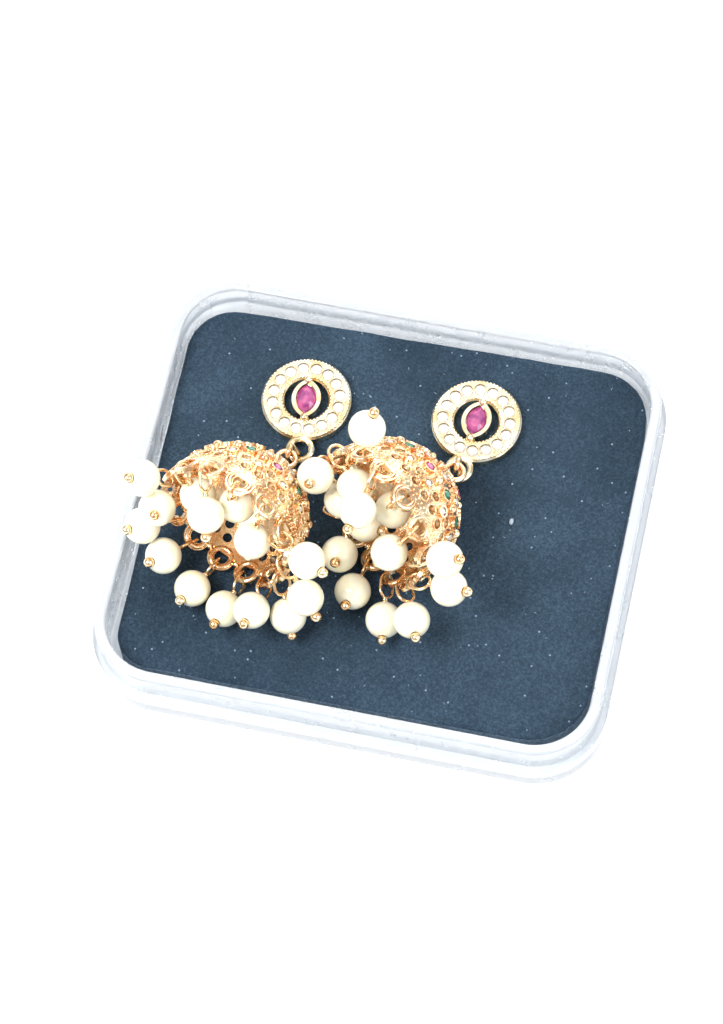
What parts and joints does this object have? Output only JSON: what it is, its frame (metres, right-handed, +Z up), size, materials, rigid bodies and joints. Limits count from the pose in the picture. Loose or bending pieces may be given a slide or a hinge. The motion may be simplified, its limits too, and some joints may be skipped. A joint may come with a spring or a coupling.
{
  "type": "pair of jhumka earrings in a display box",
  "caption": "Pair of bell-shaped earrings with stone-set round studs and pearl drops, lying on a dark velvet pad in a shallow clear open box.",
  "frame": {"origin": "middle of the box's underside", "axes": "+X along the box's long side, +Y to the far side where the studs lie, +Z up out of the open box"},
  "size_m": [0.0714, 0.0632, 0.0335],
  "materials": {
    "clear_plastic": "clear moulded plastic",
    "black_velvet": "short-pile velvet on foam",
    "gold_plate": "polished gold plate",
    "white_stone": "clear cut stone",
    "red_stone": "red cut stone",
    "green_stone": "green cut stone",
    "pearl": "cream imitation pearl"
  },
  "bodies": {
    "root": {"box_tray": "clear_plastic", "foam_pad": "black_velvet", "left_stud_frame": "gold_plate", "left_halo_stones": "white_stone", "left_marquise_stone": "red_stone", "left_link": "gold_plate", "left_dome": "gold_plate", "left_dome_white_stones": "white_stone", "left_dome_green_stones": "green_stone", "left_dome_red_stones": "red_stone", "left_pearl_pins": "gold_plate", "left_pearl_01": "pearl", "left_pearl_02": "pearl", "left_pearl_03": "pearl", "left_pearl_04": "pearl", "left_pearl_05": "pearl", "left_pearl_06": "pearl", "left_pearl_07": "pearl", "left_pearl_08": "pearl", "left_pearl_09": "pearl", "left_pearl_10": "pearl", "left_pearl_11": "pearl", "left_pearl_12": "pearl", "left_pearl_13": "pearl", "left_pearl_14": "pearl", "right_stud_frame": "gold_plate", "right_halo_stones": "white_stone", "right_marquise_stone": "red_stone", "right_link": "gold_plate", "right_dome": "gold_plate", "right_dome_white_stones": "white_stone", "right_dome_green_stones": "green_stone", "right_dome_red_stones": "red_stone", "right_pearl_pins": "gold_plate", "right_pearl_01": "pearl", "right_pearl_02": "pearl", "right_pearl_03": "pearl", "right_pearl_04": "pearl", "right_pearl_05": "pearl", "right_pearl_06": "pearl", "right_pearl_07": "pearl", "right_pearl_08": "pearl", "right_pearl_09": "pearl", "right_pearl_10": "pearl", "right_pearl_11": "pearl", "right_pearl_12": "pearl", "right_pearl_13": "pearl", "right_pearl_14": "pearl"}
  },
  "joints": []
}
